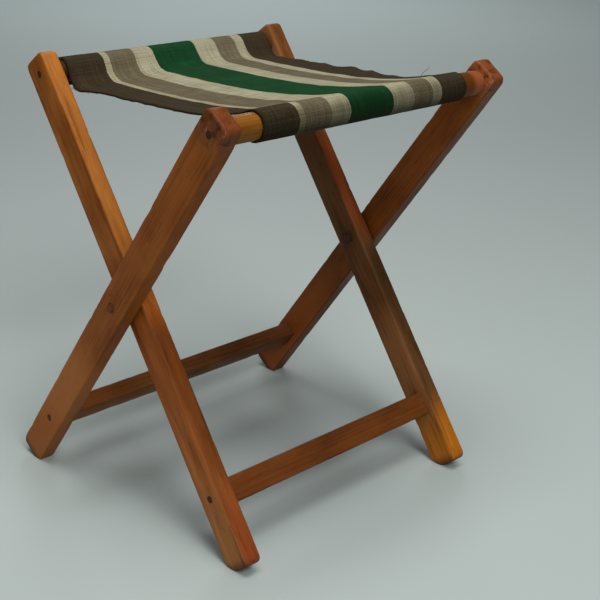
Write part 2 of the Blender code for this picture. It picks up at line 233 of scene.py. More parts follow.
# Noise drawn out along the grain: length along z as a share, scale, detail and roughness
GRAIN_LAYERS = {
    "fibres": (0.022, 620.0, 4.0, 0.62),
    "streaks": (0.05, 110.0, 3.0, 0.5),
    "blotches": (0.4, 34.0, 3.0, 0.55),
    "flames": (0.12, 95.0, 4.0, 0.6),
    "pores": (0.04, 1500.0, 2.0, 0.5),
    "rubbed": (0.3, 170.0, 4.0, 0.6),
}
SEED_SHIFT = (0.013, 0.031, 0.17)
FLAMES = (
    (0.34, (0.50, 0.45, 0.40)),
    (0.44, (1.0, 1.0, 1.0)),
    (0.53, (1.04, 1.04, 1.04)),
    (0.66, (1.4, 1.5, 1.6)),
)
INNER_FLAMES = 0.8

# Marks on the wood, as ranges for Graph.ease: start, end, share at the start and share at the end
STREAK_SHARE = (0.56, 0.74, 0.0, 0.45)
PORE_SHARE = (0.60, 0.72, 0.0, 0.30)
EDGE_SHARE = (0.0002, 0.0034, 1.0, 0.0)
RUBBED_SHARE = (0.52, 0.70, 0.0, 1.0)
SCUFF_SHARE = (0.66, 0.76, 0.0, 0.55)
SCUFF_DENTS = (0.6, 0.8, 1.0, 0.0)
PIT_SHARE = (0.34, 0.45, 0.65, 0.0)
RUB_SHARE = (0.56, 0.76, 0.0, 0.45)
END_GRAIN_SHARE = (0.55, 0.9, 0.0, 1.0)
FRONT_EDGE_SHARE = (-0.35, -0.85, 0.0, 1.0)
NAIL_STAIN = (0.0024, 0.0044, 0.55, 0.0)
RIVET_STAIN = (0.0044, 0.0058, 0.8, 0.0)
RIVET_STAIN_GAPS = (0.46, 0.58, 0.0, 1.0)
VARNISH_ROUGHNESS = (0.3, 0.7, 0.56, 0.38)
WEAR_SHARE = 0.08
WEAR_ROUGHNESS = 0.2
END_GRAIN_DARK = 0.55
WOOD_SHINE = 0.10

# Tints of worn, stained and dirty places, and of painted light and painted shade
WORN = (0.58, 0.27, 0.09)
# Near-black: real dirt round fixings and in pits, and painted shade under the front rail, along the left
# selvedge, between yarns, at the feet and at the back rail's left end
DIRT_AND_SHADE = (0.018, 0.010, 0.006)
END_RED = (0.112, 0.035, 0.014)
END_ORANGE = (0.34, 0.102, 0.038)
RUBBED_END = (0.42, 0.17, 0.09)
# Painted shadow on the right inner leg, round and above the pivot
PAINTED_SHADOW = (0.045, 0.024, 0.009)
AMBER = (0.49, 0.156, 0.006)
OLIVE = (0.31, 0.124, 0.042)
RUSSET = (0.30, 0.069, 0.011)
TAN = (0.40, 0.19, 0.07)
HONEY = (0.42, 0.138, 0.028)
CLAY = (0.325, 0.085, 0.016)
LIT_EDGE = (0.36, 0.128, 0.023)
RED_EDGE = (0.26, 0.055, 0.012)
# Painted shade on the outer legs' down-facing edges and on the rear stretcher's right end, and the outer
# leg's painted shadow on the left inner leg's edge below the pivot
SHADED_EDGE = (0.085, 0.024, 0.006)
SUNK_HEAD = (0.050, 0.018, 0.007)
RAIL_END = (0.080, 0.020, 0.004)
BATTERED_LENGTH = 0.038

# Where a tint along a leg starts and ends: its top end, or so low that it covers the whole leg
TOP_END = (PIVOT_TO_TOP - 0.035, PIVOT_TO_TOP - 0.006)
WHOLE = (-0.30, -0.29)

# Looks of the legs. front has the tints of the narrow edge on the -y side alone
Leg = namedtuple("Leg", "node body lean tone seed lumps flames tints front")
LEGS = (
    # Left outer leg: the honey tint below the pivot is painted light, and its front edge gets painted shade
    Leg(
        "outer_leg_left", "outer_frame", 1, BROWN, 1, OUTER_LUMPS, 0.0,
        ((*TOP_END, END_RED, 0.8), (-0.04, -0.12, HONEY, 0.9), (-0.16, -0.24, BROWN[1], 0.5)),
        ((*WHOLE, SHADED_EDGE, 0.3),),
    ),
    # Right outer leg: its front edge, which faces down, gets painted shade
    Leg(
        "outer_leg_right", "outer_frame", 1, RED, 2, OUTER_LUMPS, 0.0,
        ((*TOP_END, END_ORANGE, 0.8), (-0.03, -0.16, CLAY, 0.9)),
        ((*WHOLE, SHADED_EDGE, 0.7),),
    ),
    # Left inner leg: its front edge is painted lit above the pivot, with the outer leg's painted shadow just
    # below the pivot
    Leg(
        "inner_leg_left", "inner_frame", -1, PALE, 3, INNER_LUMPS, INNER_FLAMES,
        ((0.10, -0.06, RUSSET, 0.6), (-0.04, -0.14, HONEY, 0.35), (-0.16, -0.24, TAN, 0.42)),
        ((-0.01, 0.05, LIT_EDGE, 0.8), (0.0, -0.05, SHADED_EDGE, 0.65), (-0.17, -0.23, RED_EDGE, 0.8)),
    ),
    # Right inner leg: painted shadow over its face from just below the pivot upward and on its front edge
    # below the pivot, and painted light on its top end and on its front edge just above the pivot
    Leg(
        "inner_leg_right", "inner_frame", -1, DARK, 4, INNER_LUMPS, INNER_FLAMES,
        (
            (-0.08, -0.03, PAINTED_SHADOW, 0.32),
            (0.02, 0.09, DARK[1], 0.6),
            (-0.06, -0.13, OLIVE, 0.8),
            (-0.19, -0.25, AMBER, 0.8),
            (0.17, 0.215, TAN, 0.6),
        ),
        (
            (-0.02, 0.04, RED_EDGE, 0.8),
            (0.09, 0.16, DARK[1], 0.8),
            (0.0, -0.04, PAINTED_SHADOW, 0.7),
            (-0.18, -0.23, AMBER, 0.7),
        ),
    ),
)
# How far up from its end each foot is darkened: painted shade where the foot meets the floor
FOOT_SHADE_LENGTH = 0.012

# Looks of the rails: node, body, the legs that it joins, seed and tints along it
# The rails darken towards their right ends and the back rail towards its left end, both painted shade; the
# front rail's right tip gets a painted highlight
RAIL_END_SHADE = (0.085, 0.115, RAIL_END, 0.85)
RAIL_SHADE = (0.0, -0.12, DIRT_AND_SHADE, 0.85)
RAIL_TIP_HIGHLIGHT = (0.142, 0.152, END_ORANGE, 0.6)
RAILS = (
    ("front_rail", "outer_frame", "outer_leg", 5, (RAIL_END_SHADE, RAIL_TIP_HIGHLIGHT)),
    ("back_rail", "inner_frame", "inner_leg", 6, (RAIL_END_SHADE, RAIL_SHADE, RAIL_TIP_HIGHLIGHT)),
)

# Looks of the stretchers: node, body, the legs that it joins, lean, tone, seed and tints along it
# The rear stretcher's dark tone and the darkening of its right half are painted shade from the seat, and it
# is lighter towards its left end; the front stretcher's darker tone is painted shade as well
STRETCHER_SHADING = ((0.0, 0.12, SHADED_EDGE, 0.6), (-0.02, -0.12, BROWN[1], 0.4))
STRETCHERS = (
    ("rear_stretcher", "outer_frame", "outer_leg", 1, DARK, 7, STRETCHER_SHADING),
    ("front_stretcher", "inner_frame", "inner_leg", -1, SHADED_BAR, 8, ()),
)

# Metal
RUST_TONES = ((0.35, (0.020, 0.012, 0.008)), (0.55, (0.060, 0.026, 0.012)), (0.75, (0.11, 0.042, 0.016)))
TARNISH_TONES = ((0.35, (0.030, 0.015, 0.007)), (0.60, (0.085, 0.040, 0.016)), (0.75, (0.14, 0.075, 0.034)))

# Stage
FLOOR_RADIUS = 30.0
FLOOR_SIDES = 96
FLOOR_COLOUR = (0.445, 0.515, 0.51)
SKY_COLOUR = (0.92, 0.98, 1.0)
SKY_STRENGTH = 0.04
WARM = (1.0, 0.975, 0.94)
NEUTRAL = (1.0, 0.98, 0.96)
COOL = (0.97, 0.99, 1.0)
SEAT_AIM = (0, 0, 0.3)

# Lights: name, place, aim, size, power and colour
LIGHTS = (
    ("overhead", (-0.25, -0.32, 2.6), (-0.25, -0.32, 0.0), 1.7, 46.0, WARM),
    ("front", (-0.75, -2.3, 2.4), SEAT_AIM, 1.3, 45.0, WARM),
    ("side", (-2.6, -0.6, 1.2), SEAT_AIM, 2.2, 8.5, NEUTRAL),
    ("back", (2.4, 2.8, 2.2), (2.4, 2.8, 0.0), 1.8, 42.0, COOL),
)

# Camera, fitted to the photograph's outlines
CAMERA_PLACE = Vector((-0.7801, -0.8587, 0.6531))
CAMERA_AZIMUTH = math.radians(-44.073)
CAMERA_ELEVATION = math.radians(20.593)
CAMERA_ROLL = math.radians(-1.574)
CAMERA_LENS = 71.98
CAMERA_SHIFT = (0.0167, -0.05)


# Node trees

class Graph:
    """A material's nodes, with short forms for those used here."""

    def __init__(self, name):
        self.material = bpy.data.materials.new(name)
        self.material.use_nodes = True
        self.tree = self.material.node_tree
        self.shader = self.tree.nodes["Principled BSDF"]

    def feed(self, socket, value):
        """Links an output to a socket, or sets its value."""
        if isinstance(value, bpy.types.NodeSocket):
            self.tree.links.new(value, socket)
        else:
            socket.default_value = value

    def add(self, kind, settings=None, **inputs):
        """A node with its settings, and with inputs given as values or as other nodes' outputs."""
        node = self.tree.nodes.new("ShaderNode" + kind)
        for key, value in (settings or {}).items():
            setattr(node, key, value)
        for key, value in inputs.items():
            self.feed(node.inputs[key.replace("_", " ")], value)
        return node

    def surface(self, **inputs):
        """Sets inputs of the material's shader."""
        for key, value in inputs.items():
            self.feed(self.shader.inputs[key.replace("_", " ")], value)

    def math(self, operation, a, b=0.0):
        """One operation on one or two numbers."""
        node = self.add("Math", {"operation": operation})
        self.feed(node.inputs[0], a)
        self.feed(node.inputs[1], b)
        return node.outputs[0]

    def times(self, a, b):
        """Product of two numbers."""
        return self.math("MULTIPLY", a, b)

    def weigh(self, *terms):
        """Sum of (number, weight) terms."""
        products = [self.times(value, weight) for value, weight in terms]
        total = products[0]
        for product in products[1:]:
            total = self.math("ADD", total, product)
        return total

    def mix(self, share, a, b, blend="MIX"):
        """Two colours, given as sockets or as colours."""
        node = self.add("Mix", {"data_type": "RGBA", "blend_type": blend, "clamp_factor": True})
        self.feed(node.inputs[0], share)
        for socket, value in ((node.inputs[6], a), (node.inputs[7], b)):
            self.feed(socket, value if isinstance(value, bpy.types.NodeSocket) else (*value, 1.0))
        return node.outputs[2]

    def ease(self, value, start, end, low=0.0, high=1.0):
        """Goes smoothly from low at start to high at end."""
        node = self.add("MapRange", {"interpolation_type": "SMOOTHSTEP"}, Value=value)
        for k, number in enumerate((start, end, low, high), 1):
            self.feed(node.inputs[k], number)
        return node.outputs[0]

    def stretch(self, vector, scale, location=(0, 0, 0), turn=(0, 0, 0)):
        """A place scaled, turned and moved."""
        return self.add("Mapping", Vector=vector, Scale=scale, Location=location, Rotation=turn).outputs[0]

    def clouds(self, vector, scale, detail=3.0, roughness=0.55):
        """Noise from 0 to 1."""
        return self.add("TexNoise", Vector=vector, Scale=scale, Detail=detail, Roughness=roughness).outputs[0]

    def split(self, vector):
        """The x, y and z of a vector."""
        return self.add("SeparateXYZ", Vector=vector).outputs[:3]

    def ramp(self, value, stops, interpolation="LINEAR"):
        """Colours along a value, from (place, colour) stops."""
        node = self.add("ValToRGB", Fac=value)
        node.color_ramp.interpolation = interpolation
        elements = node.color_ramp.elements
        while len(elements) < len(stops):
            elements.new(1.0)
        for element, (place, colour) in zip(elements, stops):
            element.position = place
            element.color = (*colour, 1.0)
        return node.outputs[0]

    def bump(self, height, strength, distance, below=None):
        """Normal of a small relief, over another one if given."""
        inputs = {"Height": height, "Strength": strength, "Distance": distance}
        if below is not None:
            inputs["Normal"] = below
        return self.add("Bump", **inputs).outputs[0]


# Materials

Grain = namedtuple("Grain", "shifted rings fibres blotches")


def edge_distance(g, place, half, low, high):
    """How far a point of a board is from the nearest edge of its box."""
    x, y, z = g.split(place)
    inside = [
        g.math("SUBTRACT", half[0], g.math("ABSOLUTE", x)),
        g.math("SUBTRACT", half[1], g.math("ABSOLUTE", y)),
        g.math("MINIMUM", g.math("SUBTRACT", z, low), g.math("SUBTRACT", high, z)),
    ]
    squares = [g.times(d, d) for d in inside]
    largest = g.math("MAXIMUM", g.math("MAXIMUM", squares[0], squares[1]), squares[2])
    total = g.math("ADD", g.math("ADD", squares[0], squares[1]), squares[2])
    return g.math("SQRT", g.math("SUBTRACT", total, largest))


def spot(g, place, z):
    """Distance from a line through the board's thickness at height z."""
    y, height = g.split(place)[1:]
    up = g.math("SUBTRACT", height, z)
    return g.math("SQRT", g.math("ADD", g.times(y, y), g.times(up, up)))


def grain_layer(g, shifted, name):
    """One of the layers of noise along the grain."""
    along, scale, detail, roughness = GRAIN_LAYERS[name]
    return g.clouds(g.stretch(shifted, (1, 1, along)), scale, detail, roughness)


def growth_rings(g, place, seed):
    """Rings of the log, which run nearly along the board."""
    heart = (0.021 - 0.004 * seed, 0.017, 0.3 * seed)
    return g.add(
        "TexWave",
        {"wave_type": "RINGS", "rings_direction": "Z"},
        Vector=g.stretch(place, (1, 1, 0.05), heart, (0.012, 0.03, 0)),
        Scale=95.0,
        Distortion=3.4,
        Detail=2.5,
        Detail_Scale=1.3,
    ).outputs[1]


def tinted(g, colour, height, tints, where=None):
    """A colour with tints along its height, all over or on part of the surface.

    Each tint is (start, end, colour, share): it goes from nothing at z = start to its share at z = end.
    """
    for start, end, tint, share in tints:
        strength = g.ease(height, start, end, 0.0, share)
        if where is not None:
            strength = g.times(where, strength)
        colour = g.mix(strength, colour, tint)
    return colour


def wood_grain(g, place, seed):
    """The board's own grain: its shifted place, and its rings, fibres and blotches."""
    shifted = g.stretch(place, (1, 1, 1), tuple(step * seed for step in SEED_SHIFT))
    layers = [grain_layer(g, shifted, layer) for layer in ("fibres", "blotches")]
    return Grain(shifted, growth_rings(g, place, seed), *layers)


def grain_colour(g, grain, tone, height, facing, tints, front, flames):
    """Colour of the grain with its tints. front has those of the narrow edge on the -y side alone."""
    figure = g.weigh((grain.rings, 0.06), (grain.fibres, 0.26), (grain.blotches, 0.68))
    colour = g.ramp(figure, tuple(zip(GRAIN_STOPS, tone)))
    colour = tinted(g, colour, height, tints)
    colour = tinted(g, colour, height, front, g.ease(facing[1], *FRONT_EDGE_SHARE))
    if flames:
        flame = g.ramp(grain_layer(g, grain.shifted, "flames"), FLAMES)
        colour = g.mix(flames, colour, flame, "MULTIPLY")
    for layer, share in (("streaks", STREAK_SHARE), ("pores", PORE_SHARE)):
        colour = g.mix(g.ease(grain_layer(g, grain.shifted, layer), *share), colour, tone[0])
    return colour


def wood(name, tone, seed, half, low, high, tints=(), front=(), flames=0.0, nails=(), outer=False):
    """Varnished wood with grain along z, worn at its edges and stained round its fixings.

    An outer leg also has a battered top end and a dark ring round its rivet.
    """
    g = Graph(name)
    place = g.add("TexCoord").outputs["Object"]
    facing = g.split(g.add("TexCoord").outputs["Normal"])
    height = g.split(place)[2]
    grain = wood_grain(g, place, seed)
    colour = grain_colour(g, grain, tone, height, facing, tints, front, flames)

    edge = edge_distance(g, place, half, low, high)
    rubbed = grain_layer(g, grain.shifted, "rubbed")
    wear = g.times(g.ease(edge, *EDGE_SHARE), g.ease(rubbed, *RUBBED_SHARE))
    colour = g.mix(g.times(wear, WEAR_SHARE), colour, WORN)
    scuffs = g.clouds(g.stretch(grain.shifted, (1, 1, 0.5), turn=(0.5, 0.3, 0)), 310.0, 2.0, 0.5)
    colour = g.mix(g.ease(scuffs, *SCUFF_SHARE), colour, tone[0])
    dents = g.bump(g.ease(scuffs, *SCUFF_DENTS), 0.25, 0.0006)

    if outer:
        lumps = g.clouds(place, 120.0, 2.0, 0.5)
        worn_end = g.ease(height, high - BATTERED_LENGTH, high - BATTERED_LENGTH / 3)
        for share, tint in ((PIT_SHARE, DIRT_AND_SHADE), (RUB_SHARE, RUBBED_END)):
            colour = g.mix(g.times(worn_end, g.ease(lumps, *share)), colour, tint)
        dents = g.bump(g.times(lumps, worn_end), 0.6, 0.004, dents)

    end_grain = g.ease(g.math("ABSOLUTE", facing[2]), *END_GRAIN_SHARE)
    colour = g.mix(g.times(end_grain, END_GRAIN_DARK), colour, tone[0])
    for z in nails:
        colour = g.mix(g.ease(spot(g, place, z), *NAIL_STAIN), colour, DIRT_AND_SHADE)
    if outer:
        ring = g.ease(spot(g, place, 0.0), *RIVET_STAIN)
        colour = g.mix(g.times(ring, g.ease(rubbed, *RIVET_STAIN_GAPS)), colour, DIRT_AND_SHADE)

    roughness = g.math("ADD", g.ease(grain.blotches, *VARNISH_ROUGHNESS), g.times(wear, WEAR_ROUGHNESS))
    normal = g.bump(g.weigh((grain.fibres, 0.7), (grain.rings, 0.3)), 0.2, 0.0005, dents)
    g.surface(Base_Color=colour, Roughness=roughness, Normal=normal, Specular_IOR_Level=WOOD_SHINE)
    return g.material


def from_middle(g):
    """How far a point of a round head is from its axis along x, as a share of its width."""
    section_place = g.split(g.add("TexCoord").outputs["Generated"])[1:]
    across = [g.math("SUBTRACT", value, 0.5) for value in section_place]
    squares = [g.times(value, value) for value in across]
    return g.math("SQRT", g.math("ADD", *squares))


def iron():
    """Dark iron with rust in patches."""
    g = Graph("dark_iron_worn")
    place = g.add("TexCoord").outputs["Object"]
    rust = g.clouds(place, 900.0, 4.0, 0.6)
    pits = g.clouds(place, 2600.0, 2.0, 0.5)
    roughness = g.ease(rust, 0.35, 0.7, 0.45, 0.75)
    g.surface(Base_Color=g.ramp(rust, RUST_TONES), Roughness=roughness, Normal=g.bump(pits, 0.35, 0.0002))
    g.surface(Metallic=0.3, Specular_IOR_Level=0.2)
    return g.material


def varnished(name, ground, middle):
    """Metal head with varnish run over it, worn dark at its rim and at its middle."""
    g = Graph(name)
    worn = g.clouds(g.add("TexCoord").outputs["Object"], 700.0, 3.0, 0.6)
    colour = g.mix(g.ease(worn, 0.3, 0.7, 0.0, 0.5), ground, tuple(c * 1.5 for c in ground))
    distance = from_middle(g)
    rim = g.times(g.ease(distance, 0.22, 0.40), g.ease(worn, 0.46, 0.56, 0.95, 0.0))
    colour = g.mix(rim, colour, DIRT_AND_SHADE)
    colour = g.mix(g.ease(distance, 0.10, 0.24, middle, 0.0), colour, DIRT_AND_SHADE)
    g.surface(Base_Color=colour, Roughness=g.ease(worn, 0.35, 0.7, 0.6, 0.45), Specular_IOR_Level=0.2)
    g.surface(Normal=g.bump(worn, 0.3, 0.0003))
    return g.material


def tarnished():
    """Washers of old brown metal."""
    g = Graph("tarnished_washer")
    place = g.add("TexCoord").outputs["Object"]
    tarnish = g.clouds(place, 520.0, 4.0, 0.6)
    turned = g.clouds(g.stretch(place, (0.1, 1, 1)), 2200.0, 2.0, 0.5)
    g.surface(Base_Color=g.ramp(tarnish, TARNISH_TONES), Roughness=g.ease(tarnish, 0.3, 0.7, 0.65, 0.5))
    g.surface(Metallic=0.4, Specular_IOR_Level=0.2, Normal=g.bump(turned, 0.2, 0.0001))
    return g.material


def stripe_stops(colours):
    """Where each stripe starts, as a share of the canvas's width, and its colour."""
    total = sum(stripe for stripe, yarn in STRIPES)
    starts = [sum(stripe for stripe, yarn in STRIPES[:k]) / total for k in range(len(STRIPES))]
    return [(start, colours[yarn]) for start, (stripe, yarn) in zip(starts, STRIPES)]


def grey(value):
    """A colour with one value in all its channels."""
    return (value, value, value)


def by_stripe(g, share, colours):
    """One colour for each stripe, at a share of the canvas's width."""
    return g.ramp(share, stripe_stops(colours), "CONSTANT")


def slubbed(g, colour, slub, dark, light):
    """A colour made uneven by the thick and thin places of a yarn."""
    return g.mix(1.0, colour, g.ramp(slub, ((0.3, grey(dark)), (0.7, grey(light)))), "MULTIPLY")


def soiled_and_shaded(g, colour, cloth, share, front_wrap):
    """The cloth's colour with light specks and soil, painted shade and soil on the front wrap, and painted
    shade under the front rail and along the left selvedge.
    """
    u, v = g.split(cloth)[:2]
    specks = g.clouds(g.stretch(cloth, (1, 1.4, 1)), 760.0, 2.0, 0.5)
    on_front = g.ease(v, front_wrap - 0.012, front_wrap + 0.006, 0.30, 1.0)
    speckle = by_stripe(g, share, {yarn: grey(value) for yarn, value in SPECKLE.items()})
    light = g.times(g.ease(specks, *SPECK_SHARE), g.times(on_front, speckle))
    colour = g.mix(light, colour, LIGHT_SPECK)
    soil = g.clouds(cloth, 34.0, 4.0, 0.55)
    colour = g.mix(g.ease(soil, *SOIL_SHARE), colour, SOIL, "MULTIPLY")
    # The front wrap is darkened: painted shade and soil
    front_shading = by_stripe(g, share, {yarn: grey(value) for yarn, value in FRONT_SHADE_AND_SOIL.items()})
    front_shade = g.times(g.ease(v, front_wrap + 0.004, front_wrap + 0.020), front_shading)
    colour = g.mix(front_shade, colour, SHADE_AND_SOIL, "MULTIPLY")
    # Painted shade on the cloth under the front rail
    colour = g.mix(g.ease(v, front_wrap + 0.024, front_wrap + 0.034, 0.0, 0.6), colour, DIRT_AND_SHADE)
    # Painted shade along the left selvedge
    return g.mix(g.ease(u, *SELVEDGE_SHADE), colour, DIRT_AND_SHADE)


def canvas_cloth(width, front_wrap):
    """Coarse plain weave with stripes of warp. The cloth's map is in metres: u across, v along."""
    g = Graph("striped_canvas")
    cloth = g.add("UVMap", {"uv_map": "cloth"}).outputs[0]
    u, v = g.split(cloth)[:2]
    slub_warp = g.clouds(g.stretch(cloth, (1, 0.02, 1)), 900.0, 3.0, 0.6)
    slub_weft = g.clouds(g.stretch(cloth, (0.02, 1, 1)), 900.0, 3.0, 0.6)
    wander = g.clouds(g.stretch(cloth, (0.3, 1, 1)), 160.0, 2.0, 0.5)
    bent = g.math("ADD", u, g.times(g.math("SUBTRACT", wander, 0.5), 0.0016))
    share = g.math("DIVIDE", bent, width)
    warp = by_stripe(g, share, YARNS)

    turns = [g.math("SINE", g.times(value, math.pi / YARN_PITCH)) for value in (u, v)]
    over = g.times(*turns)
    height = g.math("ABSOLUTE", over)
    colour = g.mix(g.ease(over, -0.55, 0.15, 0.34, 0.0), warp, g.mix(0.12, warp, WEFT))
    colour = slubbed(g, colour, slub_warp, 0.66, 1.28)
    colour = slubbed(g, colour, slub_weft, 0.74, 1.22)
    # Painted shade in the gaps between the yarns
    colour = g.mix(g.ease(height, *GAP_SHADE), colour, DIRT_AND_SHADE)
    colour = soiled_and_shaded(g, colour, cloth, share, front_wrap)

    coarse = g.bump(g.math("ADD", slub_warp, slub_weft), 0.30, 0.0012)
    normal = g.bump(g.weigh((height, 0.7), (slub_weft, 0.5)), 0.55, 0.0007, coarse)
    g.surface(Base_Color=colour, Roughness=0.93, Specular_IOR_Level=0.06, Normal=normal)
    return g.material


def fray_yarn():
    """Loose dark fibres of the selvedges."""
    g = Graph("fray_yarn")
    place = g.add("TexCoord").outputs["Object"]
    shade = g.clouds(place, 300.0, 3.0, 0.6)
    g.surface(Base_Color=g.ramp(shade, FRAY_TONES), Roughness=0.95, Specular_IOR_Level=0.15)
    return g.material


def pale_floor():
    """Plain matt studio floor."""
    g = Graph("pale_floor")
    place = g.add("TexCoord").outputs["Object"]
    tint = g.clouds(place, 1.6, 2.0, 0.5)
    darker = tuple(c * 0.94 for c in FLOOR_COLOUR)
    colour = g.mix(g.ease(tint, 0.3, 0.7, 0.0, 0.25), FLOOR_COLOUR, darker)
    g.surface(Base_Color=colour, Roughness=0.62, Specular_IOR_Level=0.25)
    return g.material


# Meshes

def new_object(name, shape, material):
    """Object of a bmesh, shaded smooth."""
    mesh = bpy.data.meshes.new(name)
    shape.to_mesh(mesh)
    shape.free()
    mesh.shade_smooth()
    mesh.materials.append(material)
    piece = bpy.data.objects.new(name, mesh)
    bpy.context.scene.collection.objects.link(piece)
    return piece


def apply_modifiers(piece):
    """Bakes a piece's modifiers into its mesh."""
    bpy.context.view_layer.update()
    view = bpy.context.evaluated_depsgraph_get()
    mesh = bpy.data.meshes.new_from_object(piece.evaluated_get(view))
    piece.modifiers.clear()
    piece.data = mesh


def drill(piece, start, end, radius):
    """Cuts a round hole through a piece between two points of its own frame."""
    along = end - start
    shape = bmesh.new()
    bmesh.ops.create_cone(
        shape, cap_ends=True, segments=DRILL_SIDES, radius1=radius, radius2=radius, depth=along.length
    )
    turn = along.to_track_quat("Z", "Y").to_matrix().to_4x4()
    bmesh.ops.transform(shape, matrix=Matrix.Translation((start + end) / 2) @ turn, verts=shape.verts)
    mesh = bpy.data.meshes.new("drill")
    shape.to_mesh(mesh)
    shape.free()
    cutter = bpy.data.objects.new("drill", mesh)
    bpy.context.scene.collection.objects.link(cutter)
    cutter.matrix_world = piece.matrix_world
    boolean = piece.modifiers.new("drill", "BOOLEAN")
    boolean.object = cutter
    apply_modifiers(piece)
    bpy.data.objects.remove(cutter, do_unlink=True)


def section(half, low, high, radius):
    """Points round a board's section with round corners, as (x, y, on a corner)."""
    corners = ((half, high, 0), (-half, high, 1), (-half, low, 2), (half, low, 3))
    arcs = []
    for x, y, quarter in corners:
        centre_x = x - math.copysign(radius, x)
        centre_y = y - radius if quarter < 2 else y + radius
        turns = [math.pi / 2 * (quarter + k / CORNER_POINTS) for k in range(CORNER_POINTS + 1)]
        arcs.append([(centre_x + radius * math.cos(a), centre_y + radius * math.sin(a), True) for a in turns])
    points = []
    for k, arc in enumerate(arcs):
        x0, y0 = arc[-1][:2]
        x1, y1 = arcs[(k + 1) % len(arcs)][0][:2]
        shares = [(n + 1) / (SIDE_POINTS + 1) for n in range(SIDE_POINTS)]
        points += arc + [(x0 + (x1 - x0) * s, y0 + (y1 - y0) * s, False) for s in shares]
    return points


def shrink(distance, radius):
    """How far a rounded end has drawn in at a distance from its tip."""
    if distance >= radius:
        return 0.0
    return radius - math.sqrt(radius ** 2 - (radius - distance) ** 2)


def unit_noise(place):
    """Noise from 0 to 1."""
    return 0.5 + 0.5 * noise.noise(place)


def wear_depth(place, corner, below_top, offset, chip_depth, lumps):
    """How far wear has taken a point of a board inward."""
    depth = WAVE_DEPTH * unit_noise(place * WAVE_SCALE + offset)
    if corner:
        fine = noise.noise(place * FINE_CHIP_SCALE + offset)
        chips = noise.noise(place * CHIP_SCALE + offset * 2) + FINE_CHIP_SHARE * fine
        depth += chip_depth * min(1.0, max(0.0, (chips - CHIP_START) / CHIP_RANGE))
    near_top = max(0.0, 1 - below_top / LUMPY_LENGTH)
    return depth + lumps * near_top * unit_noise(place * LUMP_SCALE + offset)


def skin(shape, loops):
    """Faces between closed loops of as many points each, and over both ends."""
    count = len(loops[0])
    for low, high in zip(loops, loops[1:]):
        for k in range(count):
            shape.faces.new((low[k], low[(k + 1) % count], high[(k + 1) % count], high[k]))
    shape.faces.new(loops[0][::-1])
    shape.faces.new(loops[-1])


def loft(name, stations, material, seed, chip_depth, lumps=0.0):
    """Closed mesh through sections (z, points), with chips at its edges and lumps of wear at its top end."""
    shape = bmesh.new()
    loops = []
    offset = Vector([step * seed for step in WEAR_SHIFT])
    top = stations[-1][0]
    for z, points in stations:
        centre = Vector((sum(p[0] for p in points), sum(p[1] for p in points), 0)) / len(points)
        loop = []
        for x, y, corner in points:
            place = Vector((x, y, z))
            inward = Vector((centre.x - x, centre.y - y, 0)).normalized()
            depth = wear_depth(place, corner, top - z, offset, chip_depth, lumps)
            loop.append(shape.verts.new(place + inward * depth))
        loops.append(loop)
    skin(shape, loops)
    piece = new_object(name, shape, material)
    piece.data.set_sharp_from_angle(angle=SHARP_ANGLE)
    return piece


def leg_stations(low_side, foot_end, foot_edge):
    """Sections of a leg from its foot to its top. low_side is the edge that meets the floor."""
    half = LEG_WIDTH / 2
    slope = FOOT_FLAT * math.cos(LEG_LEAN) / (foot_edge - foot_end)
    span = PIVOT_TO_TOP - foot_end
    plain = span - 2 * END_STEPS[-1]
    count = round(plain / STATION_STEP)
    run = [END_STEPS[-1] + plain * k / count for k in range(1, count)]
    stations = []
    for rise in [*END_STEPS, *run, *(span - d for d in END_STEPS[::-1])]:
        tip = min(rise, span - rise)
        width_in = shrink(tip, END_RADIUS)
        floor_in = max(0.0, slope * (foot_edge - foot_end - rise)) if rise < span / 2 else width_in
        thickness = LEG_THICKNESS / 2 - shrink(tip, EDGE_RADIUS)
        edges = sorted((low_side * (half - floor_in), -low_side * (half - width_in)))
        radius = min(EDGE_RADIUS, TIP_RADIUS + tip)
        stations.append((foot_end + rise, section(thickness, *edges, radius)))
    return stations


def bar_stations(length):
    """Sections of a stretcher with square ends, along z."""
    count = round(length / STATION_STEP)
    half = STRETCHER_THICKNESS / 2
    points = section(STRETCHER_HEIGHT / 2, -half, half, STRETCHER_EDGE)
    return [(length * (k / count - 0.5), points) for k in range(count + 1)]


def dowel_stations(length, radius):
    """Sections of a dowel along z, with its ends eased."""
    count = round(length / STATION_STEP)
    turns = [2 * math.pi * k / DOWEL_SIDES for k in range(DOWEL_SIDES)]
    stations = []
    for k in range(count + 1):
        eased = radius - (DOWEL_EASE if k in (0, count) else 0.0)
        circle = [(eased * math.cos(a), eased * math.sin(a), False) for a in turns]
        stations.append((length * (k / count - 0.5), circle))
    return stations


# Canvas

Seat = namedtuple("Seat", "left right reach height radius")


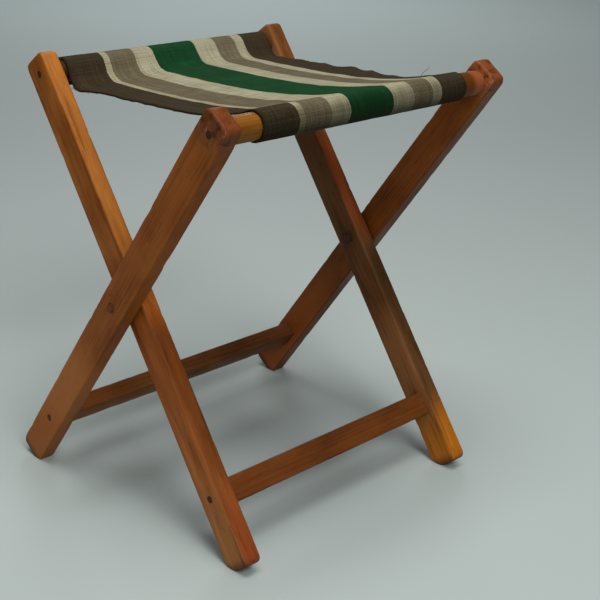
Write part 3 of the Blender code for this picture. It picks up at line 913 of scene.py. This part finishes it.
def canvas_line(seat):
    """Middle line of the cloth from under the back rail to under the front rail.

    Each entry is a (y, z) point and how slack the cloth is there: 0 on the rails, 1 in mid seat.
    """
    def wrap(side, leave):
        """Points round one rail, from where the cloth leaves it. side is +1 at the back rail."""
        turns = [-leave + (CANVAS_WRAP + leave) * k / WRAP_ROWS for k in range(WRAP_ROWS + 1)]
        centre = Vector((side * seat.reach, seat.height))
        return [centre + seat.radius * Vector((side * math.sin(a), math.cos(a))) for a in turns]

    def sag(start, slope, low, pull, steps):
        """Points of a curve from a rail down to the lowest point, along both tangents."""
        run = (start.y - low.y) / math.tan(slope)
        bend = Vector((start.x + math.copysign(run, low.x - start.x), low.y))
        points = []
        for k in range(1, steps):
            t = k / steps
            shares = ((1 - t) ** 2, 2 * pull * t * (1 - t), t * t)
            points.append((shares[0] * start + shares[1] * bend + shares[2] * low) / sum(shares))
        return points

    back = wrap(1, SEAT_DROP_BACK)
    front = wrap(-1, SEAT_RISE_FRONT)
    low = Vector((seat.reach - SEAT_LOW_FROM_BACK, seat.height + seat.radius - SEAT_SAG))
    falling = sag(back[0], SEAT_DROP_BACK, low, BACK_PULL, SEAT_ROWS // 3)
    rising = sag(front[0], SEAT_RISE_FRONT, low, FRONT_PULL, SEAT_ROWS - SEAT_ROWS // 3)[::-1]
    free = falling + [low] + rising
    slack = [math.sin(math.pi * (k + 1) / (len(free) + 1)) for k in range(len(free))]
    return [(p, 0.0) for p in back[::-1]] + list(zip(free, slack)) + [(p, 0.0) for p in front]


def running_length(line):
    """Length of the cloth from its back end to each point of its line."""
    lengths = [0.0]
    points = [point for point, slack in line]
    for a, b in zip(points, points[1:]):
        lengths.append(lengths[-1] + (b - a).length)
    return lengths


def canvas_shift(seat, y):
    """How far to the right the strip lies at y, because it is tacked on slightly askew."""
    return CANVAS_SKEW * (y + seat.reach) / (2 * seat.reach)


def left_tuck(seat, x, y):
    """How far the left selvedge is drawn in, which is most at the front."""
    near = max(0.0, 1 - (x - seat.left) / EDGE_BAND)
    return LEFT_TUCK * near * min(1.0, max(0.0, 0.5 - y / seat.reach))


def edge_drop(seat, x, y, slack):
    """How far the cloth hangs below its middle line near its two selvedges. x is without the skew."""
    front = math.exp(-((y - FRONT_DROOP_PLACE) / FRONT_DROOP_LENGTH) ** 2)
    ahead = seat.reach - CORNER_FROM_BACK - y
    corner = max(0.0, 1 - ahead / CORNER_LENGTH if ahead > 0 else 1 + ahead / CORNER_RISE)
    curls = sum(rise * math.exp(-((y - place) / length) ** 2) for place, rise, length in RIGHT_CURLS)
    hollow = ((x - seat.left) / LEFT_HOLLOW_INSIDE - 1) ** 2
    drop = LEFT_HOLLOW * math.exp(-hollow) - MIDDLE_LIFT * math.exp(-(x / MIDDLE_LIFT_SPREAD) ** 2)
    for right, inside in enumerate((x - seat.left, seat.right - x)):
        near = max(0.0, 1 - inside / EDGE_BAND)
        scallop = SCALLOP * noise.noise(Vector((y / SCALLOP_PITCH, 9.0 * right, 0)))
        drop += FRONT_DROOP[right] * front * near ** 2 + CORNER_DROP[right] * corner * near ** 1.5
        drop += scallop * near ** 3 - right * curls * near ** 4
    return drop * min(1.0, slack * 5)


def ripple(x, y, along, slack):
    """How far the cloth stands out in slight creases and puffs at a place along its length."""
    crease = noise.noise(Vector((x * 24.0, y * 60.0, 5.0))) * CREASE * slack
    puff = unit_noise(Vector((x * 70.0, along * 30.0, 1.0))) * PUFF
    return crease + puff


def add_canvas(seat, line, lengths, material):
    """The seat: one strip of cloth round both rails, with its sag, loose selvedges and slight ripples."""
    shape = bmesh.new()
    cloth = shape.loops.layers.uv.new("cloth")
    rows = []
    spots = {}
    for i, (point, slack) in enumerate(line):
        along = line[min(i + 1, len(line) - 1)][0] - line[max(i - 1, 0)][0]
        out = Vector((0, along.y, -along.x)).normalized()
        row = []
        for j in range(CANVAS_COLUMNS + 1):
            x = seat.left + (seat.right - seat.left) * j / CANVAS_COLUMNS
            shift = canvas_shift(seat, point.x) + left_tuck(seat, x, point.x)
            place = Vector((x + shift, point.x, point.y))
            place += out * ripple(x, point.x, lengths[i], slack)
            place.z -= edge_drop(seat, x, point.x, slack)
            if j in (0, CANVAS_COLUMNS):
                place.x += noise.noise(Vector((lengths[i] * 150.0, j, 0))) * SELVEDGE_WAVER
            vert = shape.verts.new(place)
            spots[vert] = (x - seat.left, lengths[i])
            row.append(vert)
        rows.append(row)
    for low, high in zip(rows, rows[1:]):
        for j in range(CANVAS_COLUMNS):
            face = shape.faces.new((low[j], high[j], high[j + 1], low[j + 1]))
            for loop in face.loops:
                loop[cloth].uv = spots[loop.vert]
    bmesh.ops.recalc_face_normals(shape, faces=shape.faces)
    piece = new_object("striped_canvas_seat", shape, material)
    thick = piece.modifiers.new("thickness", "SOLIDIFY")
    thick.thickness = CANVAS_THICKNESS
    thick.offset = 0.0
    thick.use_even_offset = True
    apply_modifiers(piece)
    return piece


def add_tube(shape, points, radius):
    """Thin tube along points, closed at both ends."""
    loops = []
    for k, point in enumerate(points):
        along = (points[min(k + 1, len(points) - 1)] - points[max(k - 1, 0)]).normalized()
        turn = along.to_track_quat("Z", "Y")
        size = radius * (0.5 if k == len(points) - 1 else 1.0)
        spokes = [2 * math.pi * n / FRAY_SIDES for n in range(FRAY_SIDES)]
        ring = [point + turn @ Vector((size * math.cos(a), size * math.sin(a), 0)) for a in spokes]
        loops.append([shape.verts.new(p) for p in ring])
    skin(shape, loops)


def add_fray(seat, line, material):
    """Loose fibres along both selvedges, and one long thread at the right front."""
    draw = random.Random(FRAY_SEED)
    shape = bmesh.new()
    for k in range(FRAY_COUNT):
        side = -1 if k % 2 else 1
        point, slack = line[draw.randrange(len(line))]
        x = seat.left if side < 0 else seat.right
        shift = canvas_shift(seat, point.x) + left_tuck(seat, x, point.x)
        start = Vector((x + shift, point.x, point.y - edge_drop(seat, x, point.x, slack)))
        reach = draw.uniform(*FRAY_REACH)
        lean = Vector((side, draw.uniform(-0.9, 0.9), draw.uniform(-0.5, 0.4))).normalized()
        curl = Vector((0, draw.uniform(-1, 1), draw.uniform(-1, 0.6))) * reach * FRAY_CURL
        points = [start + lean * reach * t + curl * t * t for t in FRAY_STEPS]
        add_tube(shape, points, FRAY_RADIUS)
    point = line[LOOSE_THREAD_ROW][0]
    start = Vector((seat.right - LOOSE_THREAD_INSIDE, point.x, point.y + CANVAS_THICKNESS / 2))
    add_tube(shape, [start + Vector(p) for p in LOOSE_THREAD], LOOSE_THREAD_RADIUS)
    return new_object("canvas_fray", shape, material)


# Stage

def add_floor():
    """A plain floor, far wider than the picture."""
    shape = bmesh.new()
    bmesh.ops.create_circle(shape, cap_ends=True, segments=FLOOR_SIDES, radius=FLOOR_RADIUS)
    floor = new_object("studio_floor", shape, pale_floor())


def add_light(name, place, aim, size, power, colour):
    """A round soft light that faces its aim."""
    light = bpy.data.lights.new(name, "AREA")
    light.shape = "DISK"
    light.size = size
    light.energy = power
    light.color = colour
    lamp = bpy.data.objects.new(name, light)
    bpy.context.scene.collection.objects.link(lamp)
    lamp.location = place
    lamp.rotation_euler = (Vector(aim) - Vector(place)).to_track_quat("-Z", "Y").to_euler()


def add_lights():
    """A dim even sky and the studio lights."""
    world = bpy.data.worlds.new("studio")
    world.use_nodes = True
    background = world.node_tree.nodes["Background"]
    background.inputs["Color"].default_value = (*SKY_COLOUR, 1.0)
    background.inputs["Strength"].default_value = SKY_STRENGTH
    bpy.context.scene.world = world
    for light in LIGHTS:
        add_light(*light)


def add_camera():
    """A camera that sees what the photograph shows."""
    level = math.cos(CAMERA_ELEVATION)
    forward = Vector((
        -math.sin(CAMERA_AZIMUTH) * level,
        math.cos(CAMERA_AZIMUTH) * level,
        -math.sin(CAMERA_ELEVATION),
    ))
    lens = bpy.data.cameras.new("camera")
    lens.lens = CAMERA_LENS
    lens.shift_x, lens.shift_y = CAMERA_SHIFT
    camera = bpy.data.objects.new("camera", lens)
    bpy.context.scene.collection.objects.link(camera)
    upright = forward.to_track_quat("-Z", "Y").to_matrix().to_4x4()
    roll = Matrix.Rotation(CAMERA_ROLL, 4, forward)
    camera.matrix_world = Matrix.Translation(CAMERA_PLACE) @ roll @ upright
    bpy.context.scene.camera = camera


# The stool

def middle_x(node):
    """The x of the middle of a CAD node."""
    low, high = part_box(node)
    return (low.x + high.x) / 2


def middle(node):
    """The middle of a CAD node."""
    low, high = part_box(node)
    return (low + high) / 2


def between_legs(leg):
    """Length of a rail or stretcher between a frame's two legs."""
    return 2 * (middle_x(leg + "_right") - LEG_THICKNESS / 2 - SEAT_GAP)


def drill_leg(leg, side, nails):
    """The pivot hole through a leg and the holes of its nails, which start at its outside."""
    through = Vector((LEG_THICKNESS, 0, 0))
    drill(leg, -through, through, PIVOT_HOLE)
    face = side * LEG_THICKNESS / 2
    for z in nails:
        inner = Vector((face - side * NAIL_HOLE_DEPTH, 0, z))
        drill(leg, inner, Vector((face + side * LEG_THICKNESS, 0, z)), NAIL_HOLE)


def add_legs(pivot):
    """Four legs in place of the plain solids, each with its own grain and tone."""
    foot_edge = -(pivot.z - LEG_WIDTH / 2 * math.sin(LEG_LEAN)) / math.cos(LEG_LEAN)
    foot_end = foot_edge - FOOT_FLAT * math.sin(LEG_LEAN)
    nails = (PIVOT_TO_TOP - RAIL_BELOW_TOP, foot_edge + STRETCHER_ABOVE_FOOT)
    half = (LEG_THICKNESS / 2, LEG_WIDTH / 2)
    # Painted shade at the foot's end, where it meets the floor
    foot_shade = (foot_end + FOOT_SHADE_LENGTH, foot_end, DIRT_AND_SHADE, 0.75)
    for node, body, lean, tone, seed, lumps, flames, tints, front in LEGS:
        outer = body == "outer_frame"
        name = node + "_wood"
        tints = (*tints, foot_shade)
        material = wood(name, tone, seed, half, foot_end, PIVOT_TO_TOP, tints, front, flames, nails, outer)
        stations = leg_stations(-lean, foot_end, foot_edge)
        leg = loft(node + "_board", stations, material, seed, LEG_CHIPS, lumps)
        tilt = Matrix.Rotation(lean * LEG_LEAN, 4, "X")
        leg.matrix_world = Matrix.Translation((middle_x(node), 0, pivot.z)) @ tilt
        drill_leg(leg, math.copysign(1, middle_x(node)), nails)
        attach(leg, body)
        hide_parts(node)


def add_rails(along):
    """Dowels in place of the plain rails. along turns z to the rails' direction."""
    reach = RAIL_DIAMETER / 2
    for node, body, leg, seed, tints in RAILS:
        length = between_legs(leg)
        material = wood(node + "_wood", BARE, seed, (reach, reach), -length / 2, length / 2, tints)
        rail = loft(node + "_dowel", dowel_stations(length, reach), material, seed, 0.0)
        rail.matrix_world = Matrix.Translation(middle(node)) @ along
        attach(rail, body)
        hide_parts(node)


def add_stretchers(along):
    """Bars in place of the plain stretchers, which lean with their legs."""
    half = (STRETCHER_HEIGHT / 2, STRETCHER_THICKNESS / 2)
    for node, body, leg, lean, tone, seed, tints in STRETCHERS:
        length = between_legs(leg)
        material = wood(node + "_wood", tone, seed, half, -length / 2, length / 2, tints)
        bar = loft(node + "_bar", bar_stations(length), material, seed, BAR_CHIPS)
        tilt = Matrix.Rotation(lean * LEG_LEAN, 4, "X")
        bar.matrix_world = Matrix.Translation(middle(node)) @ tilt @ along
        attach(bar, body)
        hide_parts(node)


def add_seat():
    """The canvas and its loose fibres, bending between the two frames."""
    rail = middle("back_rail")
    seat = Seat(
        middle_x("inner_leg_left") + LEG_THICKNESS / 2 + CANVAS_GAP_LEFT,
        middle_x("inner_leg_right") - LEG_THICKNESS / 2 - CANVAS_GAP_RIGHT,
        rail.y,
        rail.z,
        RAIL_DIAMETER / 2 + SEAT_GAP + CANVAS_THICKNESS / 2,
    )
    width = seat.right - seat.left
    line = canvas_line(seat)
    lengths = running_length(line)
    front_wrap = lengths[-WRAP_ROWS - 1]
    canvas = add_canvas(seat, line, lengths, canvas_cloth(width, front_wrap))
    fray = add_fray(seat, line, fray_yarn())
    for piece in (canvas, fray):
        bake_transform(piece)
    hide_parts("seat_canvas")


def finish_hardware(nodes):
    """Materials of the fixings, which keep their solids. Of several kinds in a name, the last one counts."""
    finishes = {
        "nail": varnished("varnished_nail", SUNK_HEAD, 0.9),
        "rivet": varnished("varnished_rivet", BROWN[0], 0.0),
        "rivet_right": varnished("stained_rivet", SUNK_HEAD, 0.0),
        "burr": varnished("stained_burr", SUNK_HEAD, 0.0),
        "spacer": tarnished(),
        "tack": iron(),
    }
    for name, node in nodes.items():
        kinds = [kind for kind in finishes if kind in name]
        if kinds:
            node.data.materials.clear()
            node.data.materials.append(finishes[kinds[-1]])


def main():
    for old in list(bpy.data.objects):
        bpy.data.objects.remove(old, do_unlink=True)
    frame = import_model()
    bpy.context.scene.view_settings.view_transform = "Standard"

    pivot = Vector(frame["joints"][0]["pos_m"])
    add_legs(pivot)
    along = Matrix.Rotation(math.pi / 2, 4, "Y")
    add_rails(along)
    add_stretchers(along)
    add_seat()
    finish_hardware(frame["nodes"])
    add_floor()
    add_lights()
    add_camera()


main()
